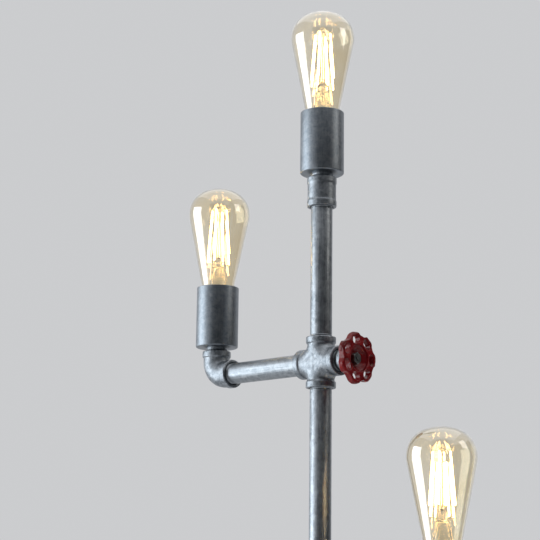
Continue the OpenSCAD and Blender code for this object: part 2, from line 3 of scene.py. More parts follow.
import bmesh
import bpy
from mathutils import Matrix, Vector, noise


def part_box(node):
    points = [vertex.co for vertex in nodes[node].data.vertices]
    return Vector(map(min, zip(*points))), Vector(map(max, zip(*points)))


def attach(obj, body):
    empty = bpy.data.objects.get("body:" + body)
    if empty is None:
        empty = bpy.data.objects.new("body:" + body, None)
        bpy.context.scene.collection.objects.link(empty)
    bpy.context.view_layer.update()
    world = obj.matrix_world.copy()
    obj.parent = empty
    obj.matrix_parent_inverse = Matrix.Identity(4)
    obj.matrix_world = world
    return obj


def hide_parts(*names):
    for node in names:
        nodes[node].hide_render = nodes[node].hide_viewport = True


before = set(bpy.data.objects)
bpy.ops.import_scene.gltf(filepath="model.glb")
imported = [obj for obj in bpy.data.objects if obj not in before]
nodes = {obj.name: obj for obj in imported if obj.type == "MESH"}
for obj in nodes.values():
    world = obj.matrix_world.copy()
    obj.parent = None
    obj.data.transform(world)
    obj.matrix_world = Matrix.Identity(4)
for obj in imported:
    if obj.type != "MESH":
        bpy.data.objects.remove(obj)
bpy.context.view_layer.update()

mm = 0.001
heads = ("top", "left", "right")
print("frame loaded:", len(nodes), "nodes")

# the camera stands a little above the lower arm and looks up at the lamp
photoView = {
    "place": (0.97334, -1.09168, 0.97379),
    "heading": 43.696,  # degrees from +Y towards -X
    "rise": 11.986,     # degrees above level
    "tilt": 0.724,
    "lens": 101.657,    # mm, on a sensor of this width
    "sensor": 36,
    "near": 0.02,
    "far": 60,
}


def makeCamera(view):
    heading, rise, tilt = (math.radians(view[k]) for k in ("heading", "rise", "tilt"))
    ahead = Vector((-math.sin(heading) * math.cos(rise),
                    math.cos(heading) * math.cos(rise), math.sin(rise)))
    side = Vector((math.cos(heading), math.sin(heading), 0))
    above = side.cross(ahead)
    right = side * math.cos(tilt) + above * math.sin(tilt)
    up = above * math.cos(tilt) - side * math.sin(tilt)
    lens = bpy.data.cameras.new("photoCamera")
    lens.sensor_width = view["sensor"]
    lens.lens = view["lens"]
    lens.clip_start = view["near"]
    lens.clip_end = view["far"]
    camera = bpy.data.objects.new("photoCamera", lens)
    bpy.context.scene.collection.objects.link(camera)
    turn = Matrix((right, up, -ahead)).transposed().to_4x4()
    camera.matrix_world = Matrix.Translation(view["place"]) @ turn
    bpy.context.scene.camera = camera
    return side, Vector((-math.sin(heading), math.cos(heading), 0))


sideways, inwards = makeCamera(photoView)
bpy.context.scene.view_settings.view_transform = "Standard"
print("camera placed")


# small helpers for node materials
def newFinish(name):
    finish = bpy.data.materials.new(name)
    finish.use_nodes = True
    tree = finish.node_tree
    return finish, tree, tree.nodes["Principled BSDF"]


def put(tree, kind, **settings):
    made = tree.nodes.new(kind)
    for key, value in settings.items():
        if hasattr(made, key):
            setattr(made, key, value)
        else:
            made.inputs[key].default_value = value
    return made


def surfacePoint(tree, stretch=(1, 1, 1)):
    place = put(tree, "ShaderNodeTexCoord")
    scale = put(tree, "ShaderNodeMapping", Scale=stretch)
    tree.links.new(place.outputs["Object"], scale.inputs["Vector"])
    return scale.outputs["Vector"]


def blotch(tree, point, size, detail=4.0, rough=0.55, twist=0.0):
    made = put(tree, "ShaderNodeTexNoise", Scale=1 / size, Detail=detail, Roughness=rough, Distortion=twist)
    tree.links.new(point, made.inputs["Vector"])
    return made.outputs[0]


def crystals(tree, point, size):
    made = put(tree, "ShaderNodeTexVoronoi", Scale=1 / size)
    tree.links.new(point, made.inputs["Vector"])
    split = put(tree, "ShaderNodeSeparateColor")
    tree.links.new(made.outputs["Color"], split.inputs[0])
    return split.outputs[0]


def weigh(tree, parts):
    total = None
    for socket, weight in parts:
        step = put(tree, "ShaderNodeMath", operation="MULTIPLY_ADD")
        tree.links.new(socket, step.inputs[0])
        step.inputs[1].default_value = weight
        if total is None:
            step.inputs[2].default_value = 0
        else:
            tree.links.new(total, step.inputs[2])
        total = step.outputs[0]
    return total


def spread(tree, value, fromLow, fromHigh, toLow, toHigh):
    made = put(tree, "ShaderNodeMapRange")
    ends = ("From Min", "From Max", "To Min", "To Max")
    for key, number in zip(ends, (fromLow, fromHigh, toLow, toHigh)):
        made.inputs[key].default_value = number
    tree.links.new(value, made.inputs["Value"])
    return made.outputs[0]


def shades(tree, value, stops):
    ramp = put(tree, "ShaderNodeValToRGB")
    band = ramp.color_ramp
    while len(band.elements) < len(stops):
        band.elements.new(0.5)
    for element, (place, colour) in zip(band.elements, stops):
        element.position = place
        element.color = (*colour, 1)
    tree.links.new(value, ramp.inputs[0])
    return ramp.outputs[0]


def overlay(tree, amount, under, colour):
    mix = put(tree, "ShaderNodeMix", data_type="RGBA", blend_type="MIX")
    tree.links.new(amount, mix.inputs[0])
    tree.links.new(under, mix.inputs[6])
    mix.inputs[7].default_value = (*colour, 1)
    return mix.outputs[2]


def relief(tree, shader, height, depth, strength):
    bump = put(tree, "ShaderNodeBump", Strength=strength, Distance=depth)
    tree.links.new(height, bump.inputs["Height"])
    tree.links.new(bump.outputs["Normal"], shader.inputs["Normal"])


def corners(tree):
    made = put(tree, "ShaderNodeNewGeometry")
    return made.outputs["Pointiness"]


def crevices(tree, reach):
    made = put(tree, "ShaderNodeAmbientOcclusion", Distance=reach)
    return made.outputs["AO"]


# zinc, on pipe, on castings and on the drawn sheet of the covers
# sizes are in metres, and mix weighs patch, mottle, crystal and grain
zincPipe = {
    "stops": ((0.36, (0.200, 0.222, 0.243)), (0.5, (0.337, 0.363, 0.391)), (0.64, (0.475, 0.503, 0.531))),
    "patch": 0.030, "mottle": 0.0038, "crystal": 0.0042, "grain": 0.0011, "mix": (0.16, 0.34, 0.10, 0.40),
    "pit": 0.0012, "speck": 0.5, "gloss": (0.36, 0.50), "pitDepth": 0.00010, "wornAndShaded": 0,
}
zincCasting = {
    "stops": ((0.35, (0.172, 0.190, 0.210)), (0.5, (0.289, 0.313, 0.340)), (0.66, (0.416, 0.444, 0.474))),
    "patch": 0.019, "mottle": 0.0026, "crystal": 0.0029, "grain": 0.0012, "mix": (0.18, 0.52, 0.16, 0.14),
    "pit": 0.0010, "speck": 0.7, "gloss": (0.36, 0.54), "pitDepth": 0.00022, "wornAndShaded": 0.35,
}
zincSheet = {
    "stops": ((0.35, (0.177, 0.198, 0.223)), (0.5, (0.254, 0.280, 0.309)), (0.66, (0.333, 0.361, 0.392))),
    "patch": 0.030, "mottle": 0.0030, "crystal": 0.0045, "grain": 0.0010, "mix": (0.14, 0.46, 0.12, 0.28),
    "pit": 0.0011, "speck": 0.6, "gloss": (0.36, 0.47), "pitDepth": 0.00010, "wornAndShaded": 0,
}
# pits and worn edges are marks the zinc itself has; the darkening of its hollows is painted shade
zincWearAndShade = {
    "pitTone": (0.05, 0.053, 0.06), "pitFrom": (0.66, 0.76), "pitGrain": 0.8,
    "edgeTone": (0.56, 0.575, 0.595), "edgeFrom": (0.53, 0.60),
    "paintedShadeTone": (0.03, 0.03, 0.031), "paintedShadeFrom": (0.25, 0.85), "paintedShadeReach": 0.005, "paintedShadeShare": 0.85,
    "shineFrom": (0.3, 0.7), "relief": 0.8,
}


def zincFinish(name, look, wearAndShade, stretch=(1, 1, 1)):
    finish, tree, shader = newFinish(name)
    point = surfacePoint(tree)
    patch = blotch(tree, point, look["patch"], detail=5, rough=0.6, twist=0.8)
    mottle = blotch(tree, point, look["mottle"], detail=4, rough=0.66, twist=0.4)
    crystal = crystals(tree, point, look["crystal"])
    drawn = blotch(tree, surfacePoint(tree, stretch), look["grain"], detail=3, rough=0.6)
    tone = weigh(tree, zip((patch, mottle, crystal, drawn), look["mix"]))
    colour = shades(tree, tone, look["stops"])
    dots = blotch(tree, point, look["pit"], detail=2, rough=0.5)
    pits = spread(tree, dots, *wearAndShade["pitFrom"], 0, 1)
    colour = overlay(tree, spread(tree, pits, 0, 1, 0, look["speck"]), colour, wearAndShade["pitTone"])
    if look["wornAndShaded"]:
        edge = spread(tree, corners(tree), *wearAndShade["edgeFrom"], 0, look["wornAndShaded"])
        colour = overlay(tree, edge, colour, wearAndShade["edgeTone"])
        # painted shade: the hollows are darkened by ambient occlusion, and the same switch turns on the
        # worn edges
        hollows = crevices(tree, wearAndShade["paintedShadeReach"])
        paintedShade = spread(tree, hollows, *wearAndShade["paintedShadeFrom"], wearAndShade["paintedShadeShare"], 0)
        colour = overlay(tree, paintedShade, colour, wearAndShade["paintedShadeTone"])
    tree.links.new(colour, shader.inputs["Base Color"])
    shader.inputs["Metallic"].default_value = 1
    shine = weigh(tree, ((mottle, 0.6), (patch, 0.4)))
    tree.links.new(spread(tree, shine, *wearAndShade["shineFrom"], *look["gloss"]), shader.inputs["Roughness"])
    fine = blotch(tree, point, look["pit"] * wearAndShade["pitGrain"], detail=3, rough=0.6)
    height = weigh(tree, ((mottle, 0.5), (fine, 0.35), (drawn, 0.2), (pits, -0.8)))
    relief(tree, shader, height, look["pitDepth"], wearAndShade["relief"])
    return finish


uprightZinc = zincFinish("uprightZinc", zincPipe, zincWearAndShade, (1, 1, 0.03))
levelZinc = zincFinish("levelZinc", zincPipe, zincWearAndShade, (0.03, 1, 1))
castZinc = zincFinish("castZinc", zincCasting, zincWearAndShade)
sheetZinc = zincFinish("sheetZinc", zincSheet, zincWearAndShade, (1, 1, 0.06))
print("zinc finishes made")

# red stoving enamel on the valve wheel
wheelEnamel = {
    "deep": (0.125, 0.003, 0.0045), "full": (0.28, 0.007, 0.010), "toneFrom": (0.3, 0.68), "flow": 0.011,
    "shade": (0.055, 0.004, 0.005), "shadeFrom": (0.2, 0.9), "shadeReach": 0.005, "shadeShare": 0.75,
    "bare": (0.07, 0.022, 0.019), "edgeFrom": (0.545, 0.60), "chipFrom": (0.80, 0.86), "chipShare": 0.7,
    "grit": 0.0008, "gloss": (0.22, 0.38), "specular": 0.12, "coat": 0.42, "coatGloss": 0.05,
    "peel": 0.0030, "peelDepth": 0.00022, "relief": 0.7,
}


def enamelFinish(name, look):
    finish, tree, shader = newFinish(name)
    point = surfacePoint(tree)
    flow = blotch(tree, point, look["flow"], detail=4, rough=0.55, twist=0.5)
    peel = blotch(tree, point, look["peel"], detail=2, rough=0.5)
    grit = blotch(tree, point, look["grit"], detail=3, rough=0.6)
    colour = shades(tree, flow, tuple(zip(look["toneFrom"], (look["deep"], look["full"]))))
    sunk = spread(tree, crevices(tree, look["shadeReach"]), *look["shadeFrom"], look["shadeShare"], 0)
    colour = overlay(tree, sunk, colour, look["shade"])
    edge = spread(tree, corners(tree), *look["edgeFrom"], 0, 1)
    chips = spread(tree, weigh(tree, ((edge, 0.5), (grit, 0.9))), *look["chipFrom"], 0, look["chipShare"])
    colour = overlay(tree, chips, colour, look["bare"])
    tree.links.new(colour, shader.inputs["Base Color"])
    tree.links.new(spread(tree, flow, 0.3, 0.7, *look["gloss"]), shader.inputs["Roughness"])
    shader.inputs["Specular IOR Level"].default_value = look["specular"]
    shader.inputs["Coat Weight"].default_value = look["coat"]
    shader.inputs["Coat Roughness"].default_value = look["coatGloss"]
    height = weigh(tree, ((peel, 0.7), (grit, 0.18), (chips, -0.4)))
    relief(tree, shader, height, look["peelDepth"], look["relief"])
    return finish


redEnamel = enamelFinish("redEnamel", wheelEnamel)

# smoked amber glass with a lustre on it, and the clear glass of the stems
bulbTint = {
    "thin": (0.98, 0.93, 0.82), "rich": (0.957, 0.872, 0.70), "toneFrom": (0.35, 0.65),
    "wave": 0.045, "seed": 0.006, "bend": 1.66, "gloss": (0.0, 0.02),
    "ripple": 0.0003, "relief": 0.25, "stretch": (1, 1, 1), "lustre": 1.0, "lustreBend": 1.66,
}
stemTint = {
    "thin": (0.985, 0.975, 0.95), "rich": (0.95, 0.94, 0.90), "toneFrom": (0.35, 0.65),
    "wave": 0.004, "seed": 0.006, "bend": 1.5, "gloss": (0.08, 0.22),
    "ripple": 0.0004, "relief": 0.8, "stretch": (1, 1, 0.05), "lustre": 0.0, "lustreBend": 1.5,
}


def glassFinish(name, look):
    finish, tree, shader = newFinish(name)
    wash = blotch(tree, surfacePoint(tree, look["stretch"]), look["wave"], detail=3, rough=0.5, twist=0.6)
    seed = blotch(tree, surfacePoint(tree), look["seed"], detail=2, rough=0.5)
    colour = shades(tree, wash, tuple(zip(look["toneFrom"], (look["thin"], look["rich"]))))
    tree.links.new(colour, shader.inputs["Base Color"])
    shader.inputs["Transmission Weight"].default_value = 1
    shader.inputs["IOR"].default_value = look["bend"]
    shader.inputs["Coat Weight"].default_value = look["lustre"]
    shader.inputs["Coat IOR"].default_value = look["lustreBend"]
    shader.inputs["Coat Roughness"].default_value = 0
    tree.links.new(spread(tree, seed, 0.3, 0.75, *look["gloss"]), shader.inputs["Roughness"])
    relief(tree, shader, weigh(tree, ((wash, 0.8), (seed, 0.05))), look["ripple"], look["relief"])
    return finish


amberGlass = glassFinish("amberGlass", bulbTint)
stemGlass = glassFinish("stemGlass", stemTint)

# lit strips, with the row of chips under the phosphor
stripGlow = {
    "hot": (1.0, 0.78, 0.42), "warm": (1.0, 0.62, 0.23), "toneFrom": (0.25, 0.6), "power": 12,
    "chip": 0.0019, "coat": 0.002, "gloss": (0.5, 0.7), "ripple": 0.0001, "relief": 0.5,
}


def glowFinish(name, look):
    finish, tree, shader = newFinish(name)
    point = surfacePoint(tree)
    chips = put(tree, "ShaderNodeTexWave", wave_type="BANDS", bands_direction="Z", Distortion=0.6)
    chips.inputs["Scale"].default_value = math.tau / 20 / look["chip"]  # bands repeat every tau / 20
    tree.links.new(point, chips.inputs["Vector"])
    coat = blotch(tree, point, look["coat"], detail=3, rough=0.6)
    light = weigh(tree, ((chips.outputs["Fac"], 0.6), (coat, 0.4)))
    colour = shades(tree, light, tuple(zip(look["toneFrom"], (look["warm"], look["hot"]))))
    tree.links.new(colour, shader.inputs["Base Color"])
    tree.links.new(colour, shader.inputs["Emission Color"])
    shader.inputs["Emission Strength"].default_value = look["power"]
    tree.links.new(spread(tree, coat, 0.3, 0.7, *look["gloss"]), shader.inputs["Roughness"])
    relief(tree, shader, light, look["ripple"], look["relief"])
    return finish


stripPhosphor = glowFinish("stripPhosphor", stripGlow)

# the plainer finishes: deep and pale tone, cloud size, metallic, gloss range, grain size and relief depth
plainLooks = {
    "baseSteel": ((0.20, 0.206, 0.216), (0.335, 0.343, 0.356), 0.05, 1, (0.36, 0.52), 0.0011, 0.00012),
    "darkSteel": ((0.15, 0.153, 0.155), (0.31, 0.312, 0.31), 0.004, 1, (0.28, 0.45), 0.0006, 0.00006),
    "capMetal": ((0.58, 0.56, 0.52), (0.74, 0.72, 0.67), 0.007, 1, (0.22, 0.38), 0.0009, 0.00005),
    "brass": ((0.52, 0.37, 0.15), (0.76, 0.58, 0.27), 0.006, 1, (0.22, 0.40), 0.0008, 0.00005),
    "yellowZinc": ((0.55, 0.42, 0.20), (0.68, 0.62, 0.40), 0.006, 1, (0.28, 0.42), 0.0009, 0.00006),
    "clipWire": ((0.42, 0.40, 0.37), (0.62, 0.60, 0.56), 0.003, 1, (0.25, 0.40), 0.0005, 0.00003),
    "porcelain": ((0.74, 0.72, 0.66), (0.86, 0.845, 0.80), 0.012, 0, (0.18, 0.34), 0.0010, 0.00006),
    "capGlass": ((0.012, 0.011, 0.014), (0.03, 0.028, 0.034), 0.004, 0, (0.10, 0.22), 0.0009, 0.00005),
    "switchCase": ((0.018, 0.018, 0.019), (0.045, 0.044, 0.043), 0.006, 0, (0.32, 0.48), 0.0007, 0.00006),
    "leadSheath": ((0.62, 0.61, 0.57), (0.74, 0.73, 0.69), 0.010, 0, (0.40, 0.55), 0.0008, 0.00005),
    "bushRubber": ((0.014, 0.014, 0.015), (0.036, 0.036, 0.037), 0.005, 0, (0.52, 0.72), 0.0006, 0.00008),
    "padFoam": ((0.016, 0.016, 0.017), (0.042, 0.042, 0.044), 0.006, 0, (0.80, 0.95), 0.0014, 0.00050),
}


def plainFinish(name, deep, pale, size, metal, gloss, grain, depth):
    finish, tree, shader = newFinish(name)
    point = surfacePoint(tree)
    cloud = blotch(tree, point, size, detail=5, rough=0.6, twist=0.5)
    fine = blotch(tree, point, grain, detail=3, rough=0.6)
    tone = weigh(tree, ((cloud, 0.7), (fine, 0.3)))
    tree.links.new(shades(tree, tone, ((0.35, deep), (0.65, pale))), shader.inputs["Base Color"])
    shader.inputs["Metallic"].default_value = metal
    tree.links.new(spread(tree, tone, 0.35, 0.65, *gloss), shader.inputs["Roughness"])
    relief(tree, shader, weigh(tree, ((fine, 0.7), (cloud, 0.3))), depth, 0.8)
    return finish


plain = {name: plainFinish(name, *look) for name, look in plainLooks.items()}
print("other finishes made")


# mesh helpers: turned outlines, swept wires and softened castings
def softened(places, steps):
    # each corner is a place and the radius that rounds it
    made = []
    for i, (x, y, radius) in enumerate(places):
        if radius <= 0:
            made.append((x, y))
            continue
        here = Vector((x, y))
        back = Vector(places[i - 1][:2]) - here
        on = Vector(places[(i + 1) % len(places)][:2]) - here
        half = back.angle(on) / 2
        cut = min(radius / math.tan(half), back.length * 0.49, on.length * 0.49)
        radius = cut * math.tan(half)
        start = here + back.normalized() * cut
        end = here + on.normalized() * cut
        hub = here + (back.normalized() + on.normalized()).normalized() * (radius / math.sin(half))
        a, b = start - hub, end - hub
        sweep = a.angle_signed(b)
        for k in range(steps + 1):
            turn = Matrix.Rotation(-sweep * k / steps, 2)
            made.append(tuple(hub + turn @ a))
    return made


def rings(count, size):
    # faces of a closed ring of closed outlines
    faces = []
    for i in range(count):
        j = (i + 1) % count
        for k in range(size):
            m = (k + 1) % size
            faces.append((i * size + k, j * size + k, j * size + m, i * size + m))
    return faces


def turned(outline, count):
    verts = []
    for i in range(count):
        c, s = math.cos(math.tau * i / count), math.sin(math.tau * i / count)
        verts += [(r * c, r * s, z) for r, z in outline]
    return verts, rings(count, len(outline))


def wire(path, radius, sides=8):
    verts, faces = [], []
    points = [Vector(p) for p in path]
    last = len(points) - 1
    across = None
    for i, p in enumerate(points):
        ahead = (points[min(i + 1, last)] - points[max(i - 1, 0)]).normalized()
        if across is None:
            across = ahead.orthogonal().normalized()
        across = (across - ahead * across.dot(ahead)).normalized()
        other = ahead.cross(across)
        for k in range(sides):
            a = math.tau * k / sides
            verts.append(p + (across * math.cos(a) + other * math.sin(a)) * radius)
    for i in range(last):
        for k in range(sides):
            m = (k + 1) % sides
            faces.append((i * sides + k, i * sides + m, (i + 1) * sides + m, (i + 1) * sides + k))
    faces.append(tuple(range(sides - 1, -1, -1)))
    faces.append(tuple(range(last * sides, (last + 1) * sides)))
    return verts, faces


def threadedTube(levels, radiusAt, bore, count=72):
    verts = []
    for i in range(count):
        a = math.tau * i / count
        c, s = math.cos(a), math.sin(a)
        for z in levels:
            r = radiusAt(z, a)
            verts.append((r * c, r * s, z))
        verts += [(bore * c, bore * s, levels[-1]), (bore * c, bore * s, levels[0])]
    return verts, rings(count, len(levels) + 2)


def alongX(shape):
    verts, faces = shape
    return [(z, y, -x) for x, y, z in verts], faces


def gather(shapes):
    verts, faces = [], []
    for someVerts, someFaces in shapes:
        first = len(verts)
        verts += [tuple(v) for v in someVerts]
        faces += [tuple(first + i for i in face) for face in someFaces]
    return verts, faces


meshWeld = 1e-7  # metres, where a made outline meets itself


def mend(mesh, weld):
    tidy = bmesh.new()
    tidy.from_mesh(mesh)
    bmesh.ops.remove_doubles(tidy, verts=tidy.verts, dist=weld)
    bmesh.ops.dissolve_degenerate(tidy, edges=tidy.edges, dist=weld / 10)
    bmesh.ops.recalc_face_normals(tidy, faces=tidy.faces)
    tidy.to_mesh(mesh)
    tidy.free()


def addMesh(name, shape, centre):
    verts, faces = shape
    at = Vector(centre)
    mesh = bpy.data.meshes.new(name)
    mesh.from_pydata([Vector(v) * mm + at for v in verts], [], faces)
    mend(mesh, meshWeld)
    made = bpy.data.objects.new(name, mesh)
    bpy.context.scene.collection.objects.link(made)
    return made


def settle(piece):
    # the shape that the modifiers give becomes the mesh
    bpy.context.view_layer.update()
    shape = bpy.data.meshes.new_from_object(piece.evaluated_get(bpy.context.evaluated_depsgraph_get()))
    piece.modifiers.clear()
    old = piece.data
    piece.data = shape
    bpy.data.meshes.remove(old)
    shape.name = piece.name
    return shape


def smooth(mesh, sharp):
    mesh.shade_smooth()
    mesh.set_sharp_from_angle(angle=math.radians(sharp))


def addPiece(name, shape, finish, body, replaced, centre, sharp=38):
    piece = addMesh(name, shape, centre)
    smooth(piece.data, sharp)
    piece.data.materials.append(finish)
    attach(piece, body)
    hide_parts(replaced)
    return piece


castSkin = {"weld": 1e-6, "softness": 0.5, "finer": 2.3, "finerShare": 0.5}


def addCasting(name, node, finish, body, look):
    copy = bpy.data.objects.new(name, nodes[node].data.copy())
    bpy.context.scene.collection.objects.link(copy)
    weld = copy.modifiers.new("weld", "WELD")
    weld.merge_threshold = castSkin["weld"]
    grid = copy.modifiers.new("grid", "REMESH")
    grid.mode = "VOXEL"
    grid.voxel_size = look["voxel"]
    soft = copy.modifiers.new("soft", "SMOOTH")
    soft.factor = castSkin["softness"]
    soft.iterations = look["rounds"]
    shape = settle(copy)
    # the slow swells of a sand casting, with finer ones on them
    moved = []
    for v in shape.vertices:
        place = v.co / look["grain"]
        lift = noise.noise(place) + castSkin["finerShare"] * noise.noise(place * castSkin["finer"])
        moved.append(v.co + v.normal * (lift * look["swell"]))
    for v, place in zip(shape.vertices, moved):
        v.co = place
    shape.shade_smooth()
    shape.materials.clear()
    shape.materials.append(finish)
    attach(copy, body)
    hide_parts(node)


def dress(node, finish):
    mesh = nodes[node].data
    mesh.materials.clear()
    mesh.materials.append(finish)


# castings, each softened from its own solid
castLook = {"voxel": 0.00055, "rounds": 3, "swell": 0.00006, "grain": 0.005}
castings = {
    "crossCasting": "cross", "teeCasting": "tee", "couplingCasting": "coupling",
    "leftElbowCasting": "left_elbow", "rightElbowCasting": "right_elbow",
    "flangeCasting": "floor_flange", "bonnetCasting": "bonnet",
}
for name, node in castings.items():
    addCasting(name, node, castZinc, "stand", castLook)
print("castings softened:", len(castings))

wheelLook = {"voxel": 0.00040, "rounds": 10, "swell": 0.00030, "grain": 0.0040}
addCasting("lobedWheel", "handwheel", redEnamel, "valve_wheel", wheelLook)
print("wheel softened")

# pipes, with the last turns of thread showing at each fitting
pipeLook = {
    "bore": 8.05, "root": 10.05, "pitch": 1.814, "engage": 12, "inside": 2.2, "runOut": 3.0,
    "fade": 1.6, "shoulder": 0.3, "steps": 36,
}
pipes = {
    "lowerPole": ("lower_pole", "z"), "middlePole": ("middle_pole", "z"), "upperPole": ("upper_pole", "z"),
    "topNipple": ("top_nipple", "z"), "leftNipple": ("left_nipple", "z"),
    "rightNipple": ("right_nipple", "z"), "leftArm": ("left_arm", "x"), "rightArm": ("right_arm", "x"),
}


def pipeShape(look, length, radius):
    start, stop = look["engage"] - look["inside"], look["engage"] + look["runOut"]
    turns = [start + (stop - start) * k / look["steps"] for k in range(look["steps"] + 1)]
    levels = [0, start - look["shoulder"]] + turns
    bothEnds = length > 2 * stop  # a nipple shows thread at its lower end alone
    levels += [length - z for z in reversed(levels)] if bothEnds else [length]

    def radiusAt(z, a):
        depth = min(z, length - z) if bothEnds else z
        if depth < start:
            return look["root"]
        fade = min(1, (stop - depth) / look["runOut"] * look["fade"])
        wave = 0.5 + 0.5 * math.cos(math.tau * z / look["pitch"] - a)
        return radius - (radius - look["root"]) * max(fade, 0) * wave

    return threadedTube(levels, radiusAt, look["bore"])


for name, (node, way) in pipes.items():
    low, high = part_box(node)
    middle = (low + high) / 2
    if way == "z":
        shape = pipeShape(pipeLook, (high.z - low.z) / mm, (high.y - low.y) / 2 / mm)
        foot = (middle.x, middle.y, low.z)
        addPiece(name, shape, uprightZinc, "stand", node, foot)
    else:
        shape = alongX(pipeShape(pipeLook, (high.x - low.x) / mm, (high.z - low.z) / 2 / mm))
        foot = (low.x, middle.y, middle.z)
        addPiece(name, shape, levelZinc, "stand", node, foot)
print("pipes cut:", len(pipes))

# the hole behind the lower pole for the cord's bush
bushHole = {"radius": 4.6, "reach": 14, "sides": 48, "sharp": 38, "weld": 1e-5}


def drillPole(pole, look):
    low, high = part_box("cord_bush")
    path = [(0, 0, 0), (0, look["reach"], 0)]
    bit = addMesh("bushDrill", wire(path, look["radius"], look["sides"]), (0, 0, (low.z + high.z) / 2))
    cut = pole.modifiers.new("bushHole", "BOOLEAN")
    cut.object = bit
    cut.solver = "EXACT"
    shape = settle(pole)
    mend(shape, look["weld"])
    smooth(shape, look["sharp"])
    spent = bit.data
    bpy.data.objects.remove(bit)
    bpy.data.meshes.remove(spent)


drillPole(bpy.data.objects["lowerPole"], bushHole)
print("pole drilled for the bush")

# the nut that holds the wheel, six-sided with turned corners
nutLook = {"flats": 10, "thick": 4, "bore": 2.3, "crown": 4.85, "slope": 30, "count": 72, "sharp": 24}


def nutShape(look):
    verts = []
    fall = math.tan(math.radians(look["slope"]))
    crown, bore, thick = look["crown"], look["bore"], look["thick"]
    for i in range(look["count"]):
        a = math.tau * i / look["count"]
        r = look["flats"] / 2 / math.cos(a % (math.pi / 3) - math.pi / 6)
        drop = (r - crown) * fall
        rows = ((bore, 0), (crown, 0), (r, drop), (r, thick - drop), (crown, thick), (bore, thick))
        verts += [(q * math.cos(a), q * math.sin(a), z) for q, z in rows]
    return verts, rings(look["count"], len(rows))


low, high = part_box("wheel_nut")
nutSeat = (low.x, (low.y + high.y) / 2, (low.z + high.z) / 2)
addPiece("wheelNut", alongX(nutShape(nutLook)), plain["darkSteel"], "valve_wheel",
         "wheel_nut", nutSeat, nutLook["sharp"])
print("wheel nut made")

# socket covers, turned with a soft rim
coverLook = {
    "radius": 21.75, "height": 63, "wall": 1.2, "floor": 2, "bore": 10.75,
    "foot": 1.5, "rim": 0.45, "hollow": 0.8, "mouth": 0.3, "steps": 7, "count": 128,
}


def coverOutline(look):
    outer, height, floor = look["radius"], look["height"], look["floor"]
    inner = outer - look["wall"]
    return softened([
        (look["bore"], 0, look["mouth"]), (outer, 0, look["foot"]),
        (outer, height, look["rim"]), (inner, height, look["rim"]),
        (inner, floor, look["hollow"]), (look["bore"], floor, look["mouth"]),
    ], look["steps"])


headFoot = {}
for head in heads:
    low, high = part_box(head + "_cover")
    headFoot[head] = Vector(((low.x + high.x) / 2, (low.y + high.y) / 2, low.z))
    addPiece(head + "SocketCover", turned(coverOutline(coverLook), coverLook["count"]), sheetZinc, "stand",
             head + "_cover", headFoot[head])
print("covers turned")

# bulbs: glass, screw cap, stem, strips and their wires, in mm above the cover's foot
bulbLook = {
    "radius": 31.97, "top": 169, "dome": 27.5, "fullness": 2.2, "taper": 11.5, "wall": 0.8,
    "neck": 54, "neckRound": 9, "collar": 11.6, "collarRound": 3, "capTop": 50, "foot": 46,
    "domeSteps": 24, "shoulderSteps": 4, "sideSteps": 5, "neckSteps": 6, "count": 128, "sharp": 60,
}


def bulbOutline(look):
    wide = look["top"] - look["dome"]
    lean = math.radians(look["taper"])
    off = look["radius"] - look["dome"]
    power = 2 / look["fullness"]
    outer = []
    for k in range(look["domeSteps"] + 1):
        a = math.pi / 2 * k / look["domeSteps"]
        outer.append((look["radius"] * math.sin(a) ** power, wide + look["dome"] * math.cos(a) ** power))
    for k in range(1, look["shoulderSteps"] + 1):
        a = lean * k / look["shoulderSteps"]
        outer.append((off + look["dome"] * math.cos(a), wide - look["dome"] * math.sin(a)))
    side = Vector(outer[-1])
    neck = side.x - (side.y - look["neck"]) * math.tan(lean)
    lower = softened([
        (*side, 0), (neck, look["neck"], look["neckRound"]),
        (look["collar"], look["capTop"], look["collarRound"]), (look["collar"], look["foot"], 0),
    ], look["neckSteps"])[1:]
    run = Vector(lower[0]) - side
    outer += [tuple(side + run * k / look["sideSteps"]) for k in range(1, look["sideSteps"])] + lower
    inner = []
    for i, (r, z) in enumerate(outer):
        before, after = outer[max(i - 1, 0)], outer[min(i + 1, len(outer) - 1)]
        way = Vector((after[0] - before[0], after[1] - before[1])).normalized()
        inner.append((max(r + way.y * look["wall"], 0), z - way.x * look["wall"]))
    inner[0] = (0, outer[0][1] - look["wall"])
    inner[-1] = (outer[-1][0] - look["wall"], outer[-1][1])
    return outer + inner[::-1]


stemLook = {
    "flare": 10.6, "foot": 47, "lip": 1.2, "swell": 0.7, "swellTo": 6,
    "tube": 9.2, "tubeFrom": 60, "tubeTo": 65,
    "press": 5.5, "pressFrom": 86.5, "pressTo": 92, "rod": 1.5, "rodFrom": 95.5, "rodTo": 149,
    "button": 2.6, "buttonRise": 1.5, "wall": 0.9, "lipWall": 0.2,
    # the hollow's corners, above or below the press's foot, the tube's top and the stem's foot
    "crownUp": 1, "shoulderDown": 2, "tubeDown": 1, "lipUp": 5.6,
    # how far each corner is rounded, outside from the flare up and in the hollow from its crown down
    "rounds": (0, 0.4, 6, 8, 9, 9, 2, 2, 1, 0.8, 0.8, 0.6, 0), "hollowRounds": (0, 3, 8, 4, 0),
    "steps": 4, "count": 48, "sharp": 50,
}


